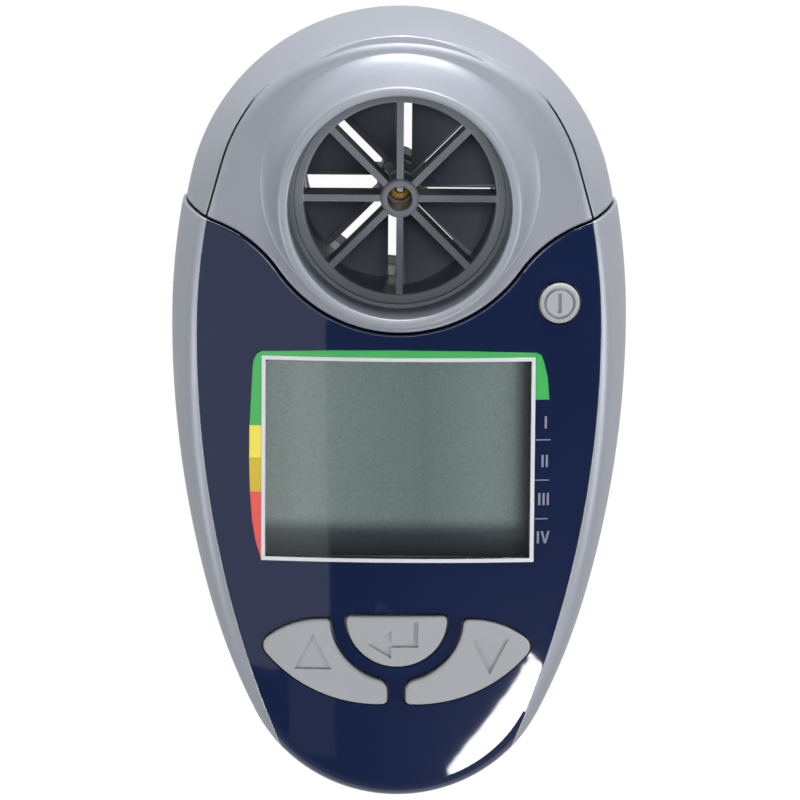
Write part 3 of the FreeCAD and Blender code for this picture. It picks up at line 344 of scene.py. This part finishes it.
# colour of the painted shadow at the foot
lcd_shade.inputs["A"].default_value = lacquer_colour(36, 45, 53)
lcd_tone = lcd_nodes.new("ShaderNodeVectorMath")
lcd_tone.operation = "SCALE"
lcd_gloss = lcd_nodes.new("ShaderNodeMapRange")
lcd_gloss.inputs["To Min"].default_value = 0.42
lcd_gloss.inputs["To Max"].default_value = 0.58
for start, end in (
        (lcd_place.outputs["Object"], lcd_along.inputs["Vector"]),
        (lcd_along.outputs["X"], lcd_side.inputs["Value"]),
        (lcd_side.outputs["Result"], lcd_colour_and_painted_light.inputs["Fac"]),
        (lcd_along.outputs["Y"], lcd_foot_shadow.inputs["Value"]),
        (lcd_colour_and_painted_light.outputs["Color"], lcd_shade.inputs["B"]),
        (lcd_foot_shadow.outputs["Result"], lcd_shade.inputs["Factor"]),
        (lcd_shade.outputs["Result"], lcd_tone.inputs[0]),
        (lcd_grain.outputs["Grain"], lcd_speckle.inputs["Value"]),
        (lcd_speckle.outputs["Result"], lcd_tone.inputs["Scale"]),
        (lcd_tone.outputs["Vector"], lcd_shader.inputs["Base Color"]),
        (lcd_grain.outputs["Patch"], lcd_gloss.inputs["Value"]),
        (lcd_gloss.outputs["Result"], lcd_shader.inputs["Roughness"])):
    lcd_links.new(start, end)
finish_parts(lcd_glass, "lcd_panel")

clear_plate = moulded_finish("clear_plate", lacquer_colour(235, 240, 240), lacquer_colour(250, 250, 250),
                             (0.02, 0.05), 700.0, 0.0000005, edge_radius=0.0002)
clear_plate.node_tree.nodes["Principled BSDF"].inputs["Metallic"].default_value = 1.0
see_through(clear_plate, 1.7, 0.0)
finish_parts(clear_plate, "display_window")

white_moulding = moulded_finish("white_moulding", lacquer_colour(222, 222, 216),
                                lacquer_colour(240, 240, 236), (0.4, 0.55), 2600.0, 0.00001)
finish_parts(white_moulding, "display_carrier", "battery_tray")


# Print on the face: a white line round the window, the traffic-light band behind it, and a scale of four
# grades with ticks on the right. It is screen ink two hundredths of a millimetre thick, on the curved face.
def face_height(x, y):
    """Height of the curved face over the plane that the monitor lies on, in metres."""
    face_top, long_radius, cross_radius, top_y = 0.031, 0.270, 0.130, 0.0235
    crown = math.sqrt(cross_radius ** 2 - x ** 2) + long_radius - cross_radius
    return face_top - long_radius + math.sqrt(crown ** 2 - (y - top_y) ** 2)


def printed(name, outlines, ink, step=0.0012, lift=0.00003, thickness=0.00002):
    """A film of ink on the face: flat outlines in millimetres, cut into small fields, laid on the face."""
    film = bmesh.new()
    for outline in outlines:
        corners = [film.verts.new((x / 1000, y / 1000, 0)) for x, y in outline]
        film.faces.new(corners)
    for axis in (0, 1):
        ends = [corner.co[axis] for corner in film.verts]
        cut = math.floor(min(ends) / step) * step + step
        while cut < max(ends):
            place = [0.0, 0.0, 0.0]
            place[axis] = cut
            along = [0.0, 0.0, 0.0]
            along[axis] = 1.0
            bmesh.ops.bisect_plane(film, geom=film.verts[:] + film.edges[:] + film.faces[:], dist=1e-8,
                                   plane_co=place, plane_no=along)
            cut += step
    bmesh.ops.recalc_face_normals(film, faces=film.faces[:])
    if film.faces[:][0].normal.z < 0:
        bmesh.ops.reverse_faces(film, faces=film.faces[:])
    lower = film.faces[:]
    made = bmesh.ops.extrude_face_region(film, geom=lower)
    raised = [part for part in made["geom"] if isinstance(part, bmesh.types.BMVert)]
    for corner in raised:
        corner.co.z = thickness
    for corner in film.verts:
        corner.co.z += face_height(corner.co.x, corner.co.y) + lift - thickness
    bmesh.ops.recalc_face_normals(film, faces=film.faces[:])
    mesh = bpy.data.meshes.new(name)
    film.to_mesh(mesh)
    film.free()
    mesh.materials.append(ink)
    piece = bpy.data.objects.new(name, mesh)
    bpy.context.scene.collection.objects.link(piece)
    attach(piece, "root")


def ink_finish(name, tone):
    """Screen ink under the clear coat: slightly uneven in tone, smooth on top."""
    made = moulded_finish(name, tone, tone, (0.3, 0.4), 1500.0, 0.000002, patch_scale=220.0, edge_amount=0.0,
                          uneven=0.07)
    made.node_tree.nodes["Principled BSDF"].inputs["Coat Weight"].default_value = 0.8
    made.node_tree.nodes["Principled BSDF"].inputs["Coat Roughness"].default_value = 0.04
    return made


white_ink = ink_finish("white_ink", lacquer_colour(232, 234, 238))
green_ink = ink_finish("green_ink", lacquer_colour(67, 187, 94))
yellow_ink = ink_finish("yellow_ink", lacquer_colour(252, 236, 84))
amber_ink = ink_finish("amber_ink", lacquer_colour(222, 192, 48))
red_ink = ink_finish("red_ink", lacquer_colour(240, 90, 80))
grey_ink = ink_finish("grey_ink", lacquer_colour(148, 152, 172))

line_x, line_top, line_foot = 19.07, tube_y - 23.3, tube_y - 52.8
line_width = 0.58
printed("window_line_top", [[(-line_x, line_top), (-line_x, line_top - line_width),
                             (line_x, line_top - line_width), (line_x, line_top)]], white_ink)
printed("window_line_foot", [[(-line_x, line_foot + line_width), (-line_x, line_foot),
                              (line_x, line_foot), (line_x, line_foot + line_width)]], white_ink)
for side, name in ((-1, "window_line_left"), (1, "window_line_right")):
    printed(name, [[(side * line_x, line_top - line_width), (side * line_x, line_foot + line_width),
                    (side * (line_x - line_width), line_foot + line_width),
                    (side * (line_x - line_width), line_top - line_width)]], white_ink)

green_foot, yellow_foot, amber_foot = tube_y - 33.26, tube_y - 37.99, tube_y - 42.88
band_corner = [(-20.32, tube_y - 24.86), (-20.16, tube_y - 23.93), (-19.73, tube_y - 23.11),
               (-19.02, tube_y - 22.69)]
band_top = [(-9.5, tube_y - 22.34), (0.0, tube_y - 22.24), (9.8, tube_y - 22.35), (19.2, tube_y - 22.66)]
band_right = [(19.82, tube_y - 22.98), (20.2, tube_y - 23.9), (20.78, tube_y - 26.27),
              (21.02, tube_y - 29.34)]
printed("band_green_left", [[(-line_x, green_foot), (-line_x, line_top)] + band_corner[::-1]
                            + [(-20.73, green_foot)]], green_ink)
printed("band_green_top", [[(-line_x, line_top), (line_x, line_top), (19.2, tube_y - 22.66)]
                           + band_top[-2::-1] + [(-19.02, tube_y - 22.69)]], green_ink)
printed("band_green_right", [[(line_x, line_top), (line_x, tube_y - 29.34)] + band_right[::-1]
                             + [(19.2, tube_y - 22.66)]], green_ink)
printed("band_yellow", [[(-line_x, yellow_foot), (-line_x, green_foot), (-20.73, green_foot),
                         (-20.77, yellow_foot)]], yellow_ink)
printed("band_amber", [[(-line_x, amber_foot), (-line_x, yellow_foot), (-20.77, yellow_foot),
                        (-20.66, amber_foot)]], amber_ink)
printed("band_red", [[(-line_x, amber_foot), (-20.66, amber_foot), (-20.35, tube_y - 47.0),
                      (-19.85, tube_y - 50.0), (-line_x, tube_y - 52.66)]], red_ink)

grade_height, stroke = 1.76, 0.32
for number, (x, y, strokes) in enumerate((
        (20.55, tube_y - 32.6, (0.0,)),
        (20.46, tube_y - 38.15, (-0.3, 0.3)),
        (20.37, tube_y - 43.65, (-0.6, 0.0, 0.6)),
        (20.36, tube_y - 49.2, (-0.72,)))):
    bars = [[(x + place - stroke / 2, y - grade_height / 2), (x + place + stroke / 2, y - grade_height / 2),
             (x + place + stroke / 2, y + grade_height / 2), (x + place - stroke / 2, y + grade_height / 2)]
            for place in strokes]
    if number == 3:
        v_x, v_half = x + 0.28, 0.62
        bars.append([(v_x - v_half, y + grade_height / 2), (v_x - stroke / 2, y - grade_height / 2),
                     (v_x + stroke / 2, y - grade_height / 2), (v_x + v_half, y + grade_height / 2),
                     (v_x + v_half - stroke, y + grade_height / 2), (v_x, y - grade_height / 4),
                     (v_x - v_half + stroke, y + grade_height / 2)])
    printed("grade_" + str(number + 1), bars, grey_ink)
for number, (y, end) in enumerate(((tube_y - 35.1, 21.22), (tube_y - 40.9, 21.12), (tube_y - 46.5, 20.98))):
    printed("grade_tick_" + str(number + 1), [[(line_x + 0.12, y - 0.08), (end, y - 0.08), (end, y + 0.08),
                                               (line_x + 0.12, y + 0.08)]], grey_ink)


# Keys and power button: grey rubber-like mouldings with a spark-eroded matt skin, their marks sunk into them.
key_skin = moulded_finish("key_skin", lacquer_colour(168, 171, 175), lacquer_colour(200, 203, 207),
                          (0.55, 0.7), 4200.0, 0.00005, patch_scale=120.0, edge_radius=0.00015,
                          edge_amount=0.7, uneven=0.05)
finish_parts(key_skin, "key_up", "key_enter", "key_down", "power_button")


# Measuring tube: dark grey swirl blades and rear stator, a clear tube between them with a flat vane that turns
# in brass bearings on a steel shaft.
blade_black = moulded_finish("blade_black", lacquer_colour(136, 141, 156), lacquer_colour(162, 166, 177),
                             (0.26, 0.4), 1800.0, 0.000008, patch_scale=90.0)
finish_parts(blade_black, "swirl_stator", "rear_stator")

clear_tube = moulded_finish("clear_tube", lacquer_colour(225, 230, 232), lacquer_colour(250, 250, 250),
                            (0.04, 0.09), 900.0, 0.000002)
clear_tube.node_tree.nodes["Principled BSDF"].inputs["Metallic"].default_value = 1.0
see_through(clear_tube, 1.5, 0.05)
finish_parts(clear_tube, "rotor_tube")

vane_skin = moulded_finish("vane_skin", lacquer_colour(205, 208, 210), lacquer_colour(230, 232, 234),
                           (0.3, 0.45), 1500.0, 0.00001)
finish_parts(vane_skin, "rotor_vane")

bearing_brass = moulded_finish("bearing_brass", lacquer_colour(134, 106, 50), lacquer_colour(190, 164, 100),
                               (0.22, 0.38), 2500.0, 0.000006)
bearing_brass.node_tree.nodes["Principled BSDF"].inputs["Metallic"].default_value = 1.0
finish_parts(bearing_brass, "front_bearing", "rear_bearing")

turned_steel = moulded_finish("turned_steel", lacquer_colour(176, 178, 182), lacquer_colour(232, 234, 236),
                              (0.2, 0.36), 3000.0, 0.000006)
turned_steel.node_tree.nodes["Principled BSDF"].inputs["Metallic"].default_value = 1.0
finish_parts(turned_steel, "rotor_shaft", "case_screws", "cover_screws", "battery_springs",
             "battery_contacts", "crystal")

seal_rubber = moulded_finish("seal_rubber", lacquer_colour(28, 28, 30), lacquer_colour(60, 60, 62),
                             (0.6, 0.8), 2200.0, 0.00003)
finish_parts(seal_rubber, "sleeve_seal", "cartridge_seal", "contact_strips")


# Electronics and batteries: green board with its parts, the optical pair in its holder, and two AAA cells.
board_mask = moulded_finish("board_mask", lacquer_colour(26, 84, 52), lacquer_colour(150, 130, 80),
                            (0.3, 0.42), 1600.0, 0.00001)
finish_parts(board_mask, "circuit_board")
part_black = moulded_finish("part_black", lacquer_colour(30, 31, 33), lacquer_colour(70, 70, 72), (0.45, 0.6),
                            2800.0, 0.00002)
finish_parts(part_black, "main_chips", "key_switches", "buzzer", "sensor_holder", "optical_emitter",
             "optical_detector")
cell_wrap = moulded_finish("cell_wrap", lacquer_colour(60, 66, 74), lacquer_colour(190, 190, 190), (0.2, 0.3),
                           1200.0, 0.000006)
finish_parts(cell_wrap, "battery_left", "battery_right")


# Floor, light and camera: a white table, five soft boxes and two dim cards on the left, seen from above with
# a long lens as in the photograph. Glossy surfaces see the table dimmer than the camera does.
table_top = bmesh.new()
bmesh.ops.create_grid(table_top, x_segments=1, y_segments=1, size=4.0)
table_mesh = bpy.data.meshes.new("floor")
table_top.to_mesh(table_mesh)
table_top.free()
floor = bpy.data.objects.new("floor", table_mesh)
bpy.context.scene.collection.objects.link(floor)
white_table, table_nodes, table_links = new_finish("white_table")
table_shader = table_nodes["Principled BSDF"]
table_shader.inputs["Roughness"].default_value = 0.9
table_shader.inputs["Specular IOR Level"].default_value = 0.0
table_shader.inputs["Base Color"].default_value = lacquer_colour(196, 196, 196)
table_glow = table_nodes.new("ShaderNodeEmission")
table_glow.inputs["Strength"].default_value = 1.05
table_seen = table_nodes.new("ShaderNodeLightPath")
table_or = table_nodes.new("ShaderNodeMath")
table_or.operation = "MAXIMUM"
table_either = table_nodes.new("ShaderNodeMath")
table_either.operation = "MAXIMUM"
table_share = table_nodes.new("ShaderNodeMath")
table_share.operation = "MULTIPLY"
table_share.inputs[1].default_value = 0.93
table_mix = table_nodes.new("ShaderNodeMixShader")
table_out = table_nodes["Material Output"]
table_dim = table_nodes.new("ShaderNodeMath")
table_dim.operation = "MULTIPLY"
table_dim.inputs[1].default_value = 0.3
for start, end in (
        (table_seen.outputs["Is Glossy Ray"], table_dim.inputs[0]),
        (table_seen.outputs["Is Camera Ray"], table_or.inputs[0]),
        (table_seen.outputs["Is Transmission Ray"], table_or.inputs[1]),
        (table_or.outputs[0], table_either.inputs[0]),
        (table_dim.outputs[0], table_either.inputs[1]),
        (table_either.outputs[0], table_share.inputs[0]),
        (table_share.outputs[0], table_mix.inputs["Fac"]),
        (table_shader.outputs["BSDF"], table_mix.inputs[1]),
        (table_glow.outputs["Emission"], table_mix.inputs[2]),
        (table_mix.outputs["Shader"], table_out.inputs["Surface"])):
    table_links.new(start, end)
floor.data.materials.append(white_table)

room = bpy.data.worlds.new("room")
room.use_nodes = True
bpy.context.scene.world = room
room_nodes, room_links = room.node_tree.nodes, room.node_tree.links
room_light = room_nodes["Background"]
room_place = room_nodes.new("ShaderNodeTexCoord")
room_up = room_nodes.new("ShaderNodeSeparateXYZ")
room_ramp = room_nodes.new("ShaderNodeValToRGB")
room_ramp.color_ramp.elements[0].position = 0.35
room_ramp.color_ramp.elements[0].color = (0.24, 0.24, 0.24, 1.0)
room_ramp.color_ramp.elements[1].position = 0.72
room_ramp.color_ramp.elements[1].color = (0.03, 0.03, 0.03, 1.0)
room_seen = room_nodes.new("ShaderNodeLightPath")
room_white = room_nodes.new("ShaderNodeMix")
room_white.data_type = "RGBA"
room_white.inputs["B"].default_value = (1.0, 1.0, 1.0, 1.0)
for start, end in (
        (room_place.outputs["Generated"], room_up.inputs["Vector"]),
        (room_up.outputs["Z"], room_ramp.inputs["Fac"]),
        (room_ramp.outputs["Color"], room_white.inputs["A"]),
        (room_seen.outputs["Is Camera Ray"], room_white.inputs["Factor"]),
        (room_white.outputs["Result"], room_light.inputs["Color"])):
    room_links.new(start, end)

for name, place, size, radiance, turn, faces_down in (
        ("soft_box_lower_right", (0.385, -1.006, 1.0), (0.33, 0.34), 15.0, 45.0, True),
        ("soft_box_top", (0.15, 1.7, 0.26), (1.1, 0.4), 23.0, 0.0, False),
        ("soft_box_over", (0.05, 0.27, 1.6), (0.5, 0.32), 8.0, 0.0, False),
        ("soft_box_left", (-1.5, -0.5, 0.9), (0.9, 0.8), 4.0, 0.0, False),
        ("soft_box_right", (1.4, -0.35, 0.9), (0.9, 0.8), 4.4, 0.0, False),
        ("dim_card_left", (-0.69, -0.35, 1.0), (1.03, 0.9), 0.4, 0.0, True),
        ("dim_card_foot", (-0.24, -0.89, 1.0), (0.13, 0.18), 0.12, 0.0, True)):
    lamp = bpy.data.lights.new(name, "AREA")
    lamp.shape = "RECTANGLE"
    lamp.size, lamp.size_y = size
    lamp.energy = radiance * 4 * size[0] * size[1]
    lamp_object = bpy.data.objects.new(name, lamp)
    if faces_down:
        lamp_object.rotation_euler = (0.0, 0.0, math.radians(turn))
    else:
        lamp_object.rotation_euler = (-Vector(place)).to_track_quat("-Z", "Y").to_euler()
    lamp_object.location = place
    bpy.context.scene.collection.objects.link(lamp_object)

view_tilt, view_roll, view_distance = math.radians(9.1459), math.radians(0.4254), 1.15833
camera = bpy.data.objects.new("camera", bpy.data.cameras.new("camera"))
camera.data.sensor_width = 36.0
camera.data.lens = 373.25
camera.data.clip_start, camera.data.clip_end = 0.05, 20.0
camera.matrix_world = (
    Matrix.Translation((0.0002166, 0.0018727 + view_distance * math.sin(view_tilt),
                        0.025 + view_distance * math.cos(view_tilt)))
    @ Matrix.Rotation(-view_tilt, 4, "X") @ Matrix.Rotation(view_roll, 4, "Z"))
bpy.context.scene.collection.objects.link(camera)
bpy.context.scene.camera = camera
bpy.context.scene.view_settings.view_transform = "Standard"
